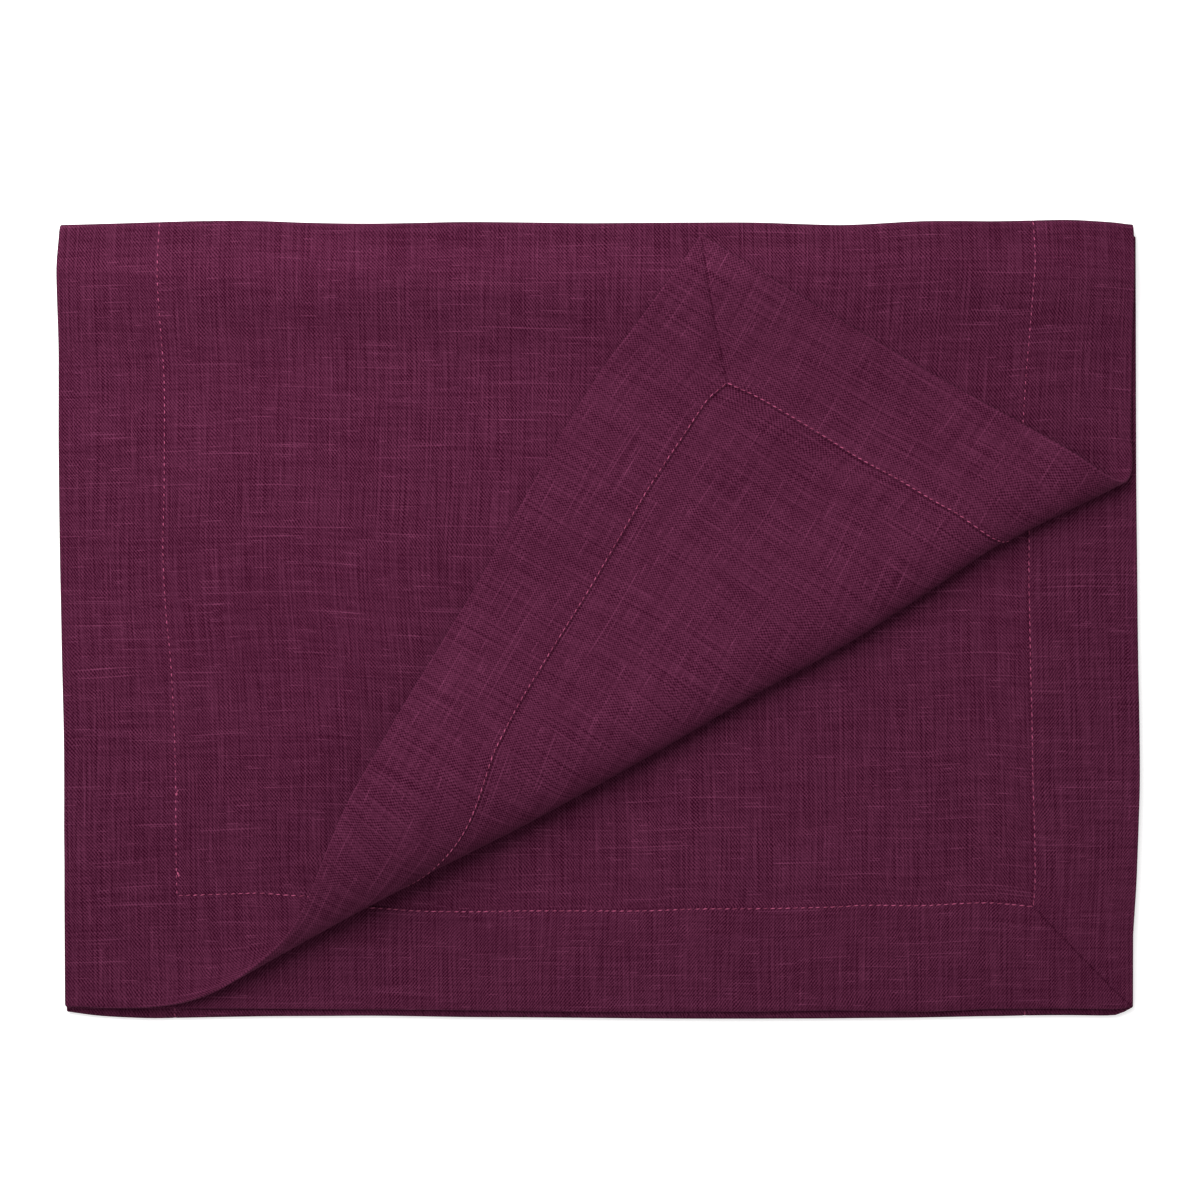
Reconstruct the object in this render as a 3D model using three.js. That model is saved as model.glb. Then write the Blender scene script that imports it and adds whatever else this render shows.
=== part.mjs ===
// Linen table runner: one hemmed cloth, folded into four layers, one corner of the top layer turned back.
// Millimetres. X runs across the cloth, Y towards the top fold, Z up from the surface it lies on.
import * as THREE from "three";

// The cloth. Its hem is turned to the reverse side, which makes the border thicker there.
const CLOTH_WIDTH = 400;
const CLOTH_THICKNESS = 1.0;
const HEM_DEPTH = 40;
const HEM_EXTRA = 0.6;
const HEM_STEP = 0.8;
const CLOTH_COLOUR = 0x5a2440;
const CLOTH_ROUGHNESS = 0.9;

// The folded stack, followed from one free end of the cloth to the other.
// height is the middle of the layer; from and to are where the straight part starts and ends along Y.
const LAYERS = [
  { layer: "top, free end below, front up", height: 7.1, from: -143.6, to: 144.6 },
  { layer: "bottom, front down", height: 0.5, from: 144.6, to: -146.3 },
  { layer: "second, front up", height: 3.1, from: -146.3, to: 142.0 },
  { layer: "third, free end below, reverse up", height: 4.5, from: 142.0, to: -145.5 },
];

// How far the two long edges stray along X, by the distance along the cloth.
const LONG_EDGES = [
  { along: 0, left: 0.8, right: -0.5 },
  { along: 35, left: 0.6, right: -2.6 },
  { along: 90, left: 0.5, right: -3.9 },
  { along: 140, left: -0.4, right: -2.3 },
  { along: 196, left: -1.3, right: -1.2 },
  { along: 245, left: -1.5, right: -0.9 },
  { along: 278, left: -2.1, right: -0.1 },
  { along: 293, left: -1.2, right: -0.2 },
  { along: 590, left: 1.1, right: -0.1 },
  { along: 882, left: 0.1, right: 0.7 },
  { along: 973, left: 0.1, right: 1.0 },
  { along: 1023, left: 0.3, right: 1.5 },
  { along: 1085, left: 0.3, right: 2.3 },
  { along: 1120, left: 0.5, right: 1.2 },
  { along: 1147, left: 0.7, right: -0.3 },
  { along: 1171, left: 1.1, right: -0.4 },
];

// How far the free ends and the folds stray along Y, by the distance across the cloth.
const CROSS_LINES = [
  { across: 0, topEnd: -0.8, topFold: -0.7, bottomFold: 1.6, innerFold: 0.0, thirdEnd: 0.4 },
  { across: 12, topEnd: -0.6, topFold: -0.4, bottomFold: 0.0, innerFold: 0.0, thirdEnd: 0.4 },
  { across: 30, topEnd: 0.3, topFold: 0.1, bottomFold: -0.9, innerFold: 0.1, thirdEnd: 0.4 },
  { across: 52, topEnd: 1.2, topFold: 0.8, bottomFold: -0.5, innerFold: 0.3, thirdEnd: 0.3 },
  { across: 75, topEnd: 4.4, topFold: 0.8, bottomFold: -0.2, innerFold: 0.4, thirdEnd: 0.2 },
  { across: 95, topEnd: 6.1, topFold: 0.1, bottomFold: -0.1, innerFold: 0.2, thirdEnd: 0.0 },
  { across: 115, topEnd: 3.9, topFold: -0.2, bottomFold: 0.0, innerFold: 0.0, thirdEnd: -0.1 },
  { across: 150, topEnd: -1.4, topFold: 0.4, bottomFold: -0.5, innerFold: -0.2, thirdEnd: -0.4 },
  { across: 195, topEnd: -6.0, topFold: 0.0, bottomFold: -0.8, innerFold: -0.1, thirdEnd: -1.0 },
  { across: 250, topEnd: -8.2, topFold: 0.3, bottomFold: -1.1, innerFold: 0.0, thirdEnd: -0.9 },
  { across: 290, topEnd: -8.5, topFold: -0.8, bottomFold: -1.0, innerFold: -0.3, thirdEnd: -0.4 },
  { across: 320, topEnd: -8.0, topFold: 0.7, bottomFold: -0.7, innerFold: 0.1, thirdEnd: -0.9 },
  { across: 345, topEnd: -7.2, topFold: 0.7, bottomFold: -0.2, innerFold: 0.3, thirdEnd: 0.1 },
  { across: 375, topEnd: -3.6, topFold: 1.2, bottomFold: 0.2, innerFold: 0.3, thirdEnd: 0.2 },
  { across: 392, topEnd: -0.2, topFold: 0.3, bottomFold: 0.1, innerFold: 0.1, thirdEnd: 0.0 },
  { across: 394.5, topEnd: 0.2, topFold: 0.0, bottomFold: 0.5, innerFold: 0.1, thirdEnd: 0.1 },
  { across: 397, topEnd: 0.6, topFold: -0.3, bottomFold: 1.6, innerFold: 0.0, thirdEnd: 0.4 },
  { across: 400, topEnd: 1.1, topFold: -0.6, bottomFold: 3.3, innerFold: 0.0, thirdEnd: 1.5 },
];

// The corner of the top layer rolls up along a line that climbs to the right, and comes to rest on the stack.
// reach is how far the roll's outside stands from the centre line; radius is half the width of its middle.
// The roll is a flattened oval, flatter still underneath. girth is its length of cloth over that of a circle
// as wide.
const ROLL_CLIMB = THREE.MathUtils.degToRad(29.4);
const ROLL = [
  { along: -200, reach: 50.2, radius: 18.7, girth: 0.811 },
  { along: -140, reach: 50.0, radius: 25.4, girth: 0.81 },
  { along: -100, reach: 51.2, radius: 29.6, girth: 0.811 },
  { along: -60, reach: 53.1, radius: 22.5, girth: 0.824 },
  { along: 0, reach: 53.5, radius: 15.9, girth: 0.865 },
  { along: 36, reach: 52.9, radius: 15.0, girth: 0.876 },
  { along: 75, reach: 53.3, radius: 14.2, girth: 0.875 },
  { along: 110, reach: 51.4, radius: 13.8, girth: 0.875 },
  { along: 146, reach: 48.8, radius: 13.1, girth: 0.872 },
  { along: 195, reach: 51.1, radius: 13.7, girth: 0.832 },
  { along: 215, reach: 51.5, radius: 13.4, girth: 0.802 },
];
const ROLL_FLATNESS = 0.45;
const ROLL_UNDERSIDE = 0.5;
const FLAP_FALL = THREE.MathUtils.degToRad(20);
const FLAP_LANDING_RADIUS = 60;
const FLAP_REST_HEIGHT = 2.4;

// Soft swells of the top layer: where, how long along X, how wide along Y and how high.
const SWELLS = [
  { swell: "behind the top fold", x: -60, y: 127, length: 170, width: 21, height: 6.5 },
  { swell: "behind the top fold, right", x: 165, y: 130, length: 60, width: 18, height: 2.6 },
  { swell: "across the left half", x: -95, y: 33, length: 120, width: 48, height: 4.4 },
  { swell: "left hem", x: -183, y: 68, length: 22, width: 14, height: 2.2 },
];
const SWELL_FADE = 18;

// Facets.
const CELLS_ACROSS = 13;
const LAYER_CELLS = 8;
const EDGE_GAPS = [6, 13, 20, 30];
const TOP_FOLD_GAPS = [5, 10, 15, 21, 28, 37, 52];
const FREE_END_GAPS = [10, 20, 30, 52, 65];
const TURN_CELLS = { large: 6, small: 4 };
const LARGE_TURN = 2;
const ROLL_CELLS = 12;
const LANDING_CELLS = 3;
const ON_THE_LINE = 0.3;
const NORMAL_STEP = 0.05;

/** Value of one column of a table at a place between its rows, on a smooth curve through the rows. */
function lookup(table, key, place, column) {
  const last = table.length - 1;
  const at = THREE.MathUtils.clamp(place, table[0][key], table[last][key]);
  const i = Math.min(table.findLastIndex((row) => row[key] <= at), last - 1);
  const slope = (k) => {
    const a = table[Math.max(k - 1, 0)];
    const b = table[Math.min(k + 1, last)];
    return (b[column] - a[column]) / (b[key] - a[key]);
  };
  const span = table[i + 1][key] - table[i][key];
  const t = (at - table[i][key]) / span;
  const start = table[i][column] * (1 + 2 * t) * (1 - t) ** 2 + slope(i) * span * t * (1 - t) ** 2;
  const end = table[i + 1][column] * t ** 2 * (3 - 2 * t) - slope(i + 1) * span * t ** 2 * (1 - t);
  return start + end;
}

/** The layers and the half turns that join them, each with its start and length along the cloth. */
function stackRuns() {
  const runs = [];
  let start = 0;
  const add = (run) => {
    runs.push({ ...run, start });
    start += run.length;
  };
  LAYERS.forEach((layer, i) => {
    const heading = Math.sign(layer.to - layer.from);
    add({ ...layer, turn: false, heading, length: Math.abs(layer.to - layer.from) });
    const next = LAYERS[i + 1];
    if (!next) return;
    const radius = Math.abs(next.height - layer.height) / 2;
    const centre = (layer.height + next.height) / 2;
    const rise = layer.height - centre;
    add({ turn: true, heading, at: layer.to, radius, centre, rise, length: Math.PI * radius });
  });
  return runs;
}

const RUNS = stackRuns();
const TURNS = RUNS.filter((run) => run.turn);
const CLOTH_LENGTH = RUNS.at(-1).start + RUNS.at(-1).length;
const TOP_LAYER_LENGTH = RUNS[0].length;

/** Y and Z of the middle of the cloth on the plain folded stack. */
function stackPoint(along) {
  const run = RUNS.find((r) => along <= r.start + r.length) ?? RUNS.at(-1);
  const walked = along - run.start;
  if (!run.turn) return { y: run.from + run.heading * walked, z: run.height };
  const angle = walked / run.radius;
  const y = run.at + run.heading * run.radius * Math.sin(angle);
  return { y, z: run.centre + run.rise * Math.cos(angle) };
}

/** How far a place on the cloth strays along Y, blended between the free ends and the folds. */
function strayAlongY(across, along) {
  const columns = ["topEnd", "topFold", "bottomFold", "innerFold", "thirdEnd"];
  const marks = [0, ...TURNS.map((turn) => turn.start + turn.length / 2), CLOTH_LENGTH];
  const next = marks.findIndex((mark, i) => i > 0 && (along <= mark || i === marks.length - 1));
  const share = THREE.MathUtils.smoothstep(along, marks[next - 1], marks[next]);
  const stray = (i) => lookup(CROSS_LINES, "across", across, columns[i]);
  return THREE.MathUtils.lerp(stray(next - 1), stray(next), share);
}

/** Place of a point of the cloth before the corner is turned back. */
function stackPlace(across, along) {
  const left = lookup(LONG_EDGES, "along", along, "left");
  const right = lookup(LONG_EDGES, "along", along, "right");
  const stack = stackPoint(along);
  const x = across - CLOTH_WIDTH / 2 + THREE.MathUtils.lerp(left, right, across / CLOTH_WIDTH);
  return new THREE.Vector3(x, stack.y + strayAlongY(across, along), stack.z);
}

/** The directions along the roll and square to it, towards the corner that is turned back. */
const ROLL_AXIS = new THREE.Vector3(Math.cos(ROLL_CLIMB), Math.sin(ROLL_CLIMB), 0);
const ROLL_OUT = new THREE.Vector3(Math.sin(ROLL_CLIMB), -Math.cos(ROLL_CLIMB), 0);

/** The roll beside a flat place: how far the cloth has run into it, and its sizes there. */
function rollAt(place) {
  const value = (column) => lookup(ROLL, "along", place.dot(ROLL_AXIS), column);
  const radius = value("radius");
  const girth = value("girth");
  const foot = value("reach") - radius - CLOTH_THICKNESS / 2;
  return { radius, girth, walked: place.dot(ROLL_OUT) - foot };
}

/** How far the flatter underside lowers the rest of the roll, before all of it is flattened. */
function lowering(radius) {
  return (1 - ROLL_UNDERSIDE) * radius;
}

/** Lengths of the rolled arc, the straight fall and the landing curve of the flap. */
function flapLengths({ radius, girth }) {
  const arc = (Math.PI + FLAP_FALL) * radius * girth;
  const rest = FLAP_REST_HEIGHT / ROLL_FLATNESS + lowering(radius);
  const dropInArc = radius * (1 + Math.cos(FLAP_FALL));
  const dropInLanding = FLAP_LANDING_RADIUS * (1 - Math.cos(FLAP_FALL));
  const fall = (dropInArc - dropInLanding - rest) / Math.sin(FLAP_FALL);
  return { arc, fall, landing: FLAP_LANDING_RADIUS * FLAP_FALL };
}

/** Section of the turned corner: out and up from the foot of the roll, over it and down to rest. */
function flapSection({ radius, girth, walked }) {
  const { arc, fall, landing } = flapLengths({ radius, girth });
  const angle = Math.min(walked, arc) / (radius * girth);
  let out = radius * Math.sin(angle);
  let up = radius * (1 - Math.cos(angle));
  const fallen = THREE.MathUtils.clamp(walked - arc, 0, fall);
  out -= fallen * Math.cos(FLAP_FALL);
  up -= fallen * Math.sin(FLAP_FALL);
  const landed = THREE.MathUtils.clamp(walked - arc - fall, 0, landing);
  const slope = FLAP_FALL - landed / FLAP_LANDING_RADIUS;
  out -= FLAP_LANDING_RADIUS * (Math.sin(FLAP_FALL) - Math.sin(slope));
  up -= FLAP_LANDING_RADIUS * (Math.cos(slope) - Math.cos(FLAP_FALL));
  out -= Math.max(walked - arc - fall - landing, 0);
  up = angle < Math.PI / 2 ? up * ROLL_UNDERSIDE : up - lowering(radius);
  return { out, up: up * ROLL_FLATNESS };
}

/** Height that the soft swells add at a place seen from above; it fades out at the top fold. */
function swellHeight(x, y) {
  const fade = THREE.MathUtils.smoothstep(LAYERS[0].to - y, 0, SWELL_FADE);
  const rise = (s) => s.height * Math.exp(-(((x - s.x) / s.length) ** 2) - ((y - s.y) / s.width) ** 2);
  return fade * SWELLS.reduce((sum, swell) => sum + rise(swell), 0);
}

/** Middle of the finished cloth at a place given across and along it. */
function middle(across, along) {
  const place = stackPlace(across, along);
  if (along >= TOP_LAYER_LENGTH) return place;
  const roll = rollAt(place);
  if (roll.walked > 0) {
    const { out, up } = flapSection(roll);
    place.addScaledVector(ROLL_OUT, out - roll.walked);
    place.z += up;
  }
  place.z += swellHeight(place.x, place.y);
  return place;
}

/** Direction in which the front side of the cloth faces. */
function facing(across, along) {
  const step = NORMAL_STEP;
  const acrossWay = middle(across + step, along).sub(middle(across - step, along));
  const alongWay = middle(across, along + step).sub(middle(across, along - step));
  return acrossWay.cross(alongWay).normalize();
}

/** Thickness that the hem adds on the reverse side: all of it in the border, none inside it. */
function hemExtra(across, along) {
  const inside = Math.min(across, CLOTH_WIDTH - across, along, CLOTH_LENGTH - along);
  const share = (inside - HEM_DEPTH) / HEM_STEP + 1 / 2;
  return HEM_EXTRA * (1 - THREE.MathUtils.clamp(share, 0, 1));
}

/** The flat cloth as faces that lines cut through, so that every fold gets its own facets. */
class FlatCloth {
  constructor() {
    this.points = [
      { across: 0, along: 0 },
      { across: CLOTH_WIDTH, along: 0 },
      { across: CLOTH_WIDTH, along: CLOTH_LENGTH },
      { across: 0, along: CLOTH_LENGTH },
    ];
    this.faces = [[0, 1, 2, 3]];
  }

  /** Cuts every face along the line where distance(point) is zero. */
  cut(distance) {
    const values = this.points.map(distance).map((d) => (Math.abs(d) < ON_THE_LINE ? 0 : d));
    const crossings = new Map();
    const crossing = (a, b) => {
      const [low, high] = a < b ? [a, b] : [b, a];
      const key = `${low} ${high}`;
      if (!crossings.has(key)) {
        const share = values[low] / (values[low] - values[high]);
        const mix = (name) => THREE.MathUtils.lerp(this.points[low][name], this.points[high][name], share);
        crossings.set(key, this.points.push({ across: mix("across"), along: mix("along") }) - 1);
      }
      return crossings.get(key);
    };
    this.faces = this.faces.flatMap((face) => {
      const sides = { below: [], above: [] };
      face.forEach((corner, i) => {
        const next = face[(i + 1) % face.length];
        if (values[corner] <= 0) sides.below.push(corner);
        if (values[corner] >= 0) sides.above.push(corner);
        if (values[corner] * values[next] < 0) {
          const met = crossing(corner, next);
          sides.below.push(met);
          sides.above.push(met);
        }
      });
      const crossed = face.some((c) => values[c] < 0) && face.some((c) => values[c] > 0);
      return crossed ? [sides.below, sides.above] : [face];
    });
  }

  /** Triangles of all faces, each face as a fan. */
  triangles() {
    const fan = (face) => face.slice(2).map((corner, i) => [face[0], face[i + 1], corner]);
    return this.faces.flatMap(fan);
  }
}

/** Cuts the flat cloth at its hems, folds and roll, and between them often enough to follow its edges. */
function cutCloth() {
  const cloth = new FlatCloth();
  const cutAcross = (place) => cloth.cut((point) => point.across - place);
  const cutAlong = (place) => cloth.cut((point) => point.along - place);
  const inner = HEM_DEPTH + HEM_STEP / 2;
  const outer = HEM_DEPTH - HEM_STEP / 2;
  for (const edge of [outer, inner]) {
    cutAcross(edge);
    cutAcross(CLOTH_WIDTH - edge);
    cutAlong(edge);
    cutAlong(CLOTH_LENGTH - edge);
  }
  for (const gap of EDGE_GAPS) {
    cutAcross(gap);
    cutAcross(CLOTH_WIDTH - gap);
  }
  const middleWidth = CLOTH_WIDTH - 2 * inner;
  for (let i = 1; i < CELLS_ACROSS; i++) cutAcross(inner + (middleWidth * i) / CELLS_ACROSS);
  for (const run of RUNS) {
    const turnCells = run.radius > LARGE_TURN ? TURN_CELLS.large : TURN_CELLS.small;
    const cells = run.turn ? turnCells : LAYER_CELLS;
    for (let i = 0; i < cells; i++) cutAlong(run.start + (run.length * i) / cells);
  }
  TOP_FOLD_GAPS.forEach((gap) => cutAlong(TOP_LAYER_LENGTH - gap));
  FREE_END_GAPS.forEach(cutAlong);
  const marks = [];
  for (let i = 0; i <= ROLL_CELLS; i++) marks.push(({ arc }) => (arc * i) / ROLL_CELLS);
  for (let i = 0; i <= LANDING_CELLS; i++) {
    marks.push(({ arc, fall, landing }) => arc + fall + (landing * i) / LANDING_CELLS);
  }
  for (const mark of marks) {
    cloth.cut((point) => {
      if (point.along >= TOP_LAYER_LENGTH) return -CLOTH_WIDTH;
      const roll = rollAt(stackPlace(point.across, point.along));
      return roll.walked - mark(flapLengths(roll));
    });
  }
  return cloth;
}

/** Edges that only one face uses, in the order of that face. */
function rimEdges(triangles) {
  const edges = new Map();
  for (const [a, b, c] of triangles) {
    for (const [from, to] of [[a, b], [b, c], [c, a]]) {
      if (!edges.delete(`${to} ${from}`)) edges.set(`${from} ${to}`, [from, to]);
    }
  }
  return [...edges.values()];
}

/**
 * Closed solid of the cloth: its front, its reverse with the thicker hem, and the rim between them.
 * It lies with the middle of its outline over the origin.
 */
function clothSolid() {
  const cloth = cutCloth();
  const front = [];
  const reverse = [];
  for (const { across, along } of cloth.points) {
    const place = middle(across, along);
    const normal = facing(across, along);
    const half = CLOTH_THICKNESS / 2;
    front.push(...place.clone().addScaledVector(normal, half));
    reverse.push(...place.clone().addScaledVector(normal, -half - hemExtra(across, along)));
  }
  const count = cloth.points.length;
  const triangles = cloth.triangles();
  const index = triangles.flatMap(([a, b, c]) => [a, b, c, count + c, count + b, count + a]);
  for (const [from, to] of rimEdges(triangles)) {
    index.push(from, count + from, count + to, from, count + to, to);
  }
  const geometry = new THREE.BufferGeometry();
  geometry.setAttribute("position", new THREE.Float32BufferAttribute([...front, ...reverse], 3));
  geometry.setIndex(index);
  geometry.computeBoundingBox();
  const centre = geometry.boundingBox.getCenter(new THREE.Vector3());
  geometry.translate(-centre.x, -centre.y, 0);
  geometry.computeVertexNormals();
  return geometry;
}

const linen = new THREE.MeshStandardMaterial({
  color: CLOTH_COLOUR,
  roughness: CLOTH_ROUGHNESS,
  metalness: 0,
});
const runner = new THREE.Mesh(clothSolid(), linen);
runner.name = "runner";

const tableRunner = new THREE.Group();
tableRunner.add(runner);

export default tableRunner;
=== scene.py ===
"""Looks of the linen table runner: one plum cloth in four layers, with one corner rolled back."""

import logging
import math
from dataclasses import dataclass, field
from enum import Enum
from typing import Any, Iterator, Sequence

import bmesh
import bpy
import numpy as np
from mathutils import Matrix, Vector


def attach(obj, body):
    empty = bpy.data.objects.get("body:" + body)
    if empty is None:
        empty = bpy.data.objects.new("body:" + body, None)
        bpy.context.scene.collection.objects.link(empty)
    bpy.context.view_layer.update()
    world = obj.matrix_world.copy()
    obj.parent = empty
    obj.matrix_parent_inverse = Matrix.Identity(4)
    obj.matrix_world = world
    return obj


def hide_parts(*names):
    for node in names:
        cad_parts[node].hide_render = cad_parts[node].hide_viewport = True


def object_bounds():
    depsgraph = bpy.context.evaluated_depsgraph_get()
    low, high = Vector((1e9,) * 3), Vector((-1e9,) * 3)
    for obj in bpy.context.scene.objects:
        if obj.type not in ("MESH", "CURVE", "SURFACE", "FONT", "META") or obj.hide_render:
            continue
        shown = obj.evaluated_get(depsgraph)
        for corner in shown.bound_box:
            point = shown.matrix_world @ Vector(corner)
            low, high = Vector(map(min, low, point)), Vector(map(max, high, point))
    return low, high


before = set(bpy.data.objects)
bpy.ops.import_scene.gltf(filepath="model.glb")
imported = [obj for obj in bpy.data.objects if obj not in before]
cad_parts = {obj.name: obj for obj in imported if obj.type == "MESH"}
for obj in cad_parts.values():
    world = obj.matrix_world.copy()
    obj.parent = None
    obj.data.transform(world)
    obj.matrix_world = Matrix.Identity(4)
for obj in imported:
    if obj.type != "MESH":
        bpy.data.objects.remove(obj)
CAD_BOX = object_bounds()

log = logging.getLogger("table_runner")

Array = np.ndarray
Colour = tuple[float, float, float]
Rows = Sequence[Sequence[float]]
Surface = tuple[tuple[str, Any], ...]

MM = 0.001
BODY = "root"
NODE = "runner"
CLOTH_MAP = "cloth"
LEAN = "lean"
PAINTED_SHADING = "painted_shading"
NOISE_MIDDLE = 0.5

# How far to each side of its diagonal a mitre shows, in mitre widths.
MITRE_CUT = 1.5

# The stack, followed from one free end of the cloth to the other: height of each layer's middle, and where
# its straight part starts and ends along Y.
LAYERS: Rows = (
    (7.1, -143.6, 144.6),
    (0.5, 144.6, -146.3),
    (3.1, -146.3, 142.0),
    (4.5, 142.0, -145.5),
)

# Along the cloth: how far its left edge, left seam, right seam and right edge stray along X.
LONG_LINES: Rows = (
    (0, 0.8, 2.7, -1.5, -0.5),
    (40, 0.6, 2.7, -1.5, -2.7),
    (52, 0.6, 2.4, -0.7, -3.1),
    (65, 0.5, 2.3, -0.7, -3.5),
    (83, 0.5, 2.2, -1.3, -3.8),
    (100, 0.4, 1.8, -2.2, -3.8),
    (118, 0.0, 1.0, -2.7, -3.2),
    (132, -0.3, 0.1, -3.8, -2.7),
    (145, -0.5, -1.2, -4.3, -2.2),
    (168, -0.9, -2.3, -5.2, -1.7),
    (190, -1.2, -1.9, -3.6, -1.3),
    (218, -1.4, -1.8, -1.5, -1.1),
    (235, -1.5, -2.1, -0.4, -1.0),
    (247, -1.5, -2.9, 0.6, -0.9),
    (266, -1.9, -4.1, 2.0, -0.4),
    (278, -2.1, -4.4, 2.8, -0.1),
    (293, -1.2, -3.8, 2.2, -0.2),
    (340, -1.0, -1.0, 0.5, -0.3),
    (590, 1.1, 1.6, -0.6, -0.1),
    (882, 0.1, 0.6, 0.9, 0.7),
    (973, 0.1, 0.6, 1.1, 1.0),
    (1010, 0.2, 0.7, 0.8, 1.4),
    (1024, 0.3, 0.8, 1.1, 1.5),
    (1045, 0.3, 0.8, 1.5, 1.8),
    (1060, 0.3, 0.8, 1.9, 2.1),
    (1085, 0.3, 0.8, 2.3, 2.3),
    (1100, 0.4, 0.9, 2.8, 1.9),
    (1114, 0.5, 1.0, 3.1, 1.4),
    (1124, 0.5, 1.0, 3.0, 1.0),
    (1132, 0.6, 1.1, 2.4, 0.5),
    (1147, 0.7, 1.2, 2.0, -0.3),
    (1171, 1.1, 1.6, 2.0, -0.4),
)

# Across the cloth: how far the top layer's end and its seam, the three folds, and the third layer's seam
# and end stray along Y.
CROSS_LINES: Rows = (
    (0, -0.8, -0.5, -0.7, 1.6, 0.0, 0.2, 0.4),
    (12, -0.6, -0.2, -0.4, 0.0, 0.0, 0.2, 0.4),
    (30, 0.3, 0.5, 0.1, -0.9, 0.1, 0.1, 0.4),
    (40, 0.7, 0.7, 0.4, -0.8, 0.2, 0.0, 0.4),
    (56, 1.6, 1.2, 0.8, -0.5, 0.3, -0.3, 0.3),
    (75, 4.4, 1.8, 0.8, -0.2, 0.4, -0.9, 0.2),
    (95, 6.1, 2.0, 0.1, -0.1, 0.2, -1.5, 0.0),
    (115, 3.9, 0.6, -0.2, 0.0, 0.0, -2.1, -0.1),
    (131, 1.3, -1.3, 0.0, -0.2, -0.1, -3.2, -0.2),
    (150, -1.4, -3.0, 0.4, -0.5, -0.2, -3.5, -0.4),
    (169, -3.6, -4.3, 0.3, -0.6, -0.2, -3.2, -0.7),
    (195, -6.0, -7.0, 0.0, -0.8, -0.1, -3.2, -1.0),
    (215, -7.0, -9.2, 0.1, -1.0, -0.1, -3.2, -1.0),
    (236, -7.9, -9.9, 0.2, -1.1, 0.0, -2.5, -0.9),
    (258, -8.3, -10.1, 0.2, -1.1, -0.1, -2.4, -0.9),
    (287, -8.5, -9.8, -0.7, -1.0, -0.3, -1.7, -0.4),
    (297, -8.4, -9.7, -0.5, -0.9, -0.2, -1.1, -0.6),
    (319, -8.0, -9.4, 0.7, -0.7, 0.1, -1.2, -0.9),
    (334, -7.6, -8.9, 0.8, -0.4, 0.2, -0.4, -0.4),
    (344, -7.2, -8.5, 0.7, -0.2, 0.3, -0.2, 0.1),
    (352, -6.6, -7.6, 0.8, -0.1, 0.3, -0.8, 0.1),
    (361, -5.5, -3.9, 1.0, 0.1, 0.3, -1.6, 0.2),
    (375, -3.6, -2.0, 1.2, 0.2, 0.3, -1.6, 0.2),
    (392, -0.2, -1.0, 0.3, 0.1, 0.1, -1.2, 0.0),
    (394.5, 0.2, -1.0, 0.0, 0.5, 0.1, -1.1, 0.1),
    (397, 0.6, -1.0, -0.3, 1.6, 0.0, -1.1, 0.4),
    (400, 1.1, -1.0, -0.6, 3.3, 0.0, -1.0, 1.5),
)

# Along the roll: how far its outside stands from the centre line, half its width to the cloth's middle, and
# its girth as a share of that of a circle as wide.
ROLL: Rows = (
    (-200, 50.2, 18.7, 0.811),
    (-140, 50.0, 25.4, 0.81),
    (-100, 51.2, 29.6, 0.811),
    (-60, 53.1, 22.5, 0.824),
    (0, 53.5, 15.9, 0.865),
    (36, 52.9, 15.0, 0.876),
    (75, 53.3, 14.2, 0.875),
    (110, 51.4, 13.8, 0.875),
    (146, 48.8, 13.1, 0.872),
    (195, 51.1, 13.7, 0.832),
    (215, 51.5, 13.4, 0.802),
)

# Soft swells of the top layer, seen from above: middle x and y, length along X, width along Y, height.
SWELLS: Rows = (
    (-60, 127, 170, 21, 6.5),
    (165, 130, 60, 18, 2.6),
    (-95, 33, 120, 48, 4.4),
    (-183, 68, 22, 14, 2.2),
)

# Soft creases on the front side of the flat cloth: across and along at one end and at the other, width, rise.
CREASES: Rows = ((362, 37, 395, 54, 6.0, 0.4),)

# Two knots of the thread on the front side of the flat cloth, in two lumps each: middle across, along and
# above, three sizes, turn.
KNOTS: Rows = (
    (40.4, 78.0, 0.05, 1.9, 0.7, 0.6, 1.5),
    (40.7, 79.0, 0.12, 1.1, 0.6, 0.5, 1.0),
    (40.6, 48.2, 0.10, 1.5, 0.8, 0.6, 1.9),
    (40.9, 47.4, 0.08, 1.0, 0.7, 0.5, 1.2),
)

# How far the second, third and top layers sink below their full height: least and most, and the waves along
# X, along Y and on the slant that share it out, each as a length and a shift.
SAG: Rows = (
    (0.0, 0.7, 31, 1.3, 27, 0.4, 41, 2.2),
    (0.0, 0.25, 23, 0.2, 37, 1.9, 29, 0.7),
    (0.0, 0.7, 27, 2.6, 33, 0.9, 19, 1.4),
)


class Curve:
    """A smooth curve through the rows of a table."""

    def __init__(self, places: Array, values: Array) -> None:
        """Keeps the rows and the slope of the curve at each of them.

        Args:
            places: where the rows stand, in rising order.
            values: the value at each of them.
        """
        last = len(places) - 1
        before = np.maximum(np.arange(last + 1) - 1, 0)
        after = np.minimum(np.arange(last + 1) + 1, last)
        self.places, self.values, self.last = places, values, last
        self.slopes = (values[after] - values[before]) / (places[after] - places[before])

    def at(self, place: Array) -> Array:
        """Values of the curve at some places, level beyond its ends.

        Args:
            place: the places.

        Returns:
            The value at each place.
        """
        at = np.clip(place, self.places[0], self.places[-1])
        i = np.clip(np.searchsorted(self.places, at, side="right") - 1, 0, self.last - 1)
        span = self.places[i + 1] - self.places[i]
        t = (at - self.places[i]) / span
        start = self.values[i] * (1 + 2 * t) * (1 - t) ** 2 + self.slopes[i] * span * t * (1 - t) ** 2
        end = self.values[i + 1] * t**2 * (3 - 2 * t) - self.slopes[i + 1] * span * t**2 * (1 - t)
        return start + end


def curves(rows: Rows) -> list[Curve]:
    """One curve for each column after the first of a table, over its first column."""
    columns = np.array(rows, float).T
    return [Curve(columns[0], values) for values in columns[1:]]


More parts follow.
